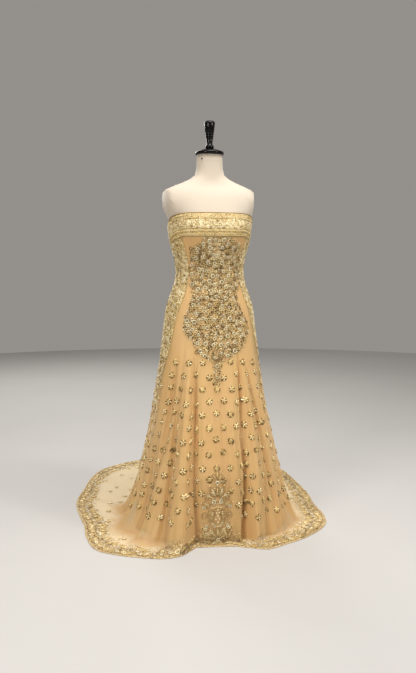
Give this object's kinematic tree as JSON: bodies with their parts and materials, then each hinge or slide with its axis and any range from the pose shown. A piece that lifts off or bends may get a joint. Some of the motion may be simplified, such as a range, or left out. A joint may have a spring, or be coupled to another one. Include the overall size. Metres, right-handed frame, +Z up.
{
  "type": "strapless evening gown with a train on a limbless dress form and stand",
  "caption": "Strapless evening gown, fitted to the hip, with a flared skirt and a train on the floor, worn by a limbless dress form on a pole with a round base.",
  "frame": {"origin": "middle of the underside of the stand's base, on the floor", "axes": "+Z up along the stand's pole, -Y the way the gown's front faces, +X to the right of a viewer who faces the front"},
  "size_m": [1.0831, 1.3866, 1.6517],
  "materials": {
    "gold_tulle": "sheer tulle with beaded sprigs",
    "nude_satin": "soft satin",
    "gold_beading": "dense gold beading",
    "old_gold_cord": "dark gold cord",
    "brass": "polished",
    "cream_jersey": "stretched cream jersey",
    "black_lacquer": "gloss black lacquer",
    "black_steel": "satin black"
  },
  "bodies": {
    "gown_on_form": {"front_centre": "gold_tulle", "front_side_left": "gold_tulle", "front_side_right": "gold_tulle", "back_side_left": "gold_tulle", "back_side_right": "gold_tulle", "back_centre_left": "gold_tulle", "back_centre_right": "gold_tulle", "lining_front": "nude_satin", "lining_back_left": "nude_satin", "lining_back_right": "nude_satin", "band_front": "gold_beading", "band_back_left": "gold_beading", "band_back_right": "gold_beading", "side_lace_left": "gold_beading", "side_lace_right": "gold_beading", "neckline_piping": "old_gold_cord", "zip_slider": "brass", "form_torso": "cream_jersey", "neck_cap": "black_lacquer", "cap_handle": "black_lacquer", "neck_screw": "black_steel", "stand_pole": "black_steel", "stand_base": "black_steel"},
    "zip_pull_tab": {"zip_pull": "brass"}
  },
  "joints": [
    {"name": "zip_pull_swing", "type": "hinge", "parent": "gown_on_form", "child": "zip_pull_tab", "pos_m": [0, 0.11377, 1.17098], "axis": [1, 0, 0], "range_deg": [-4, 150]}
  ]
}
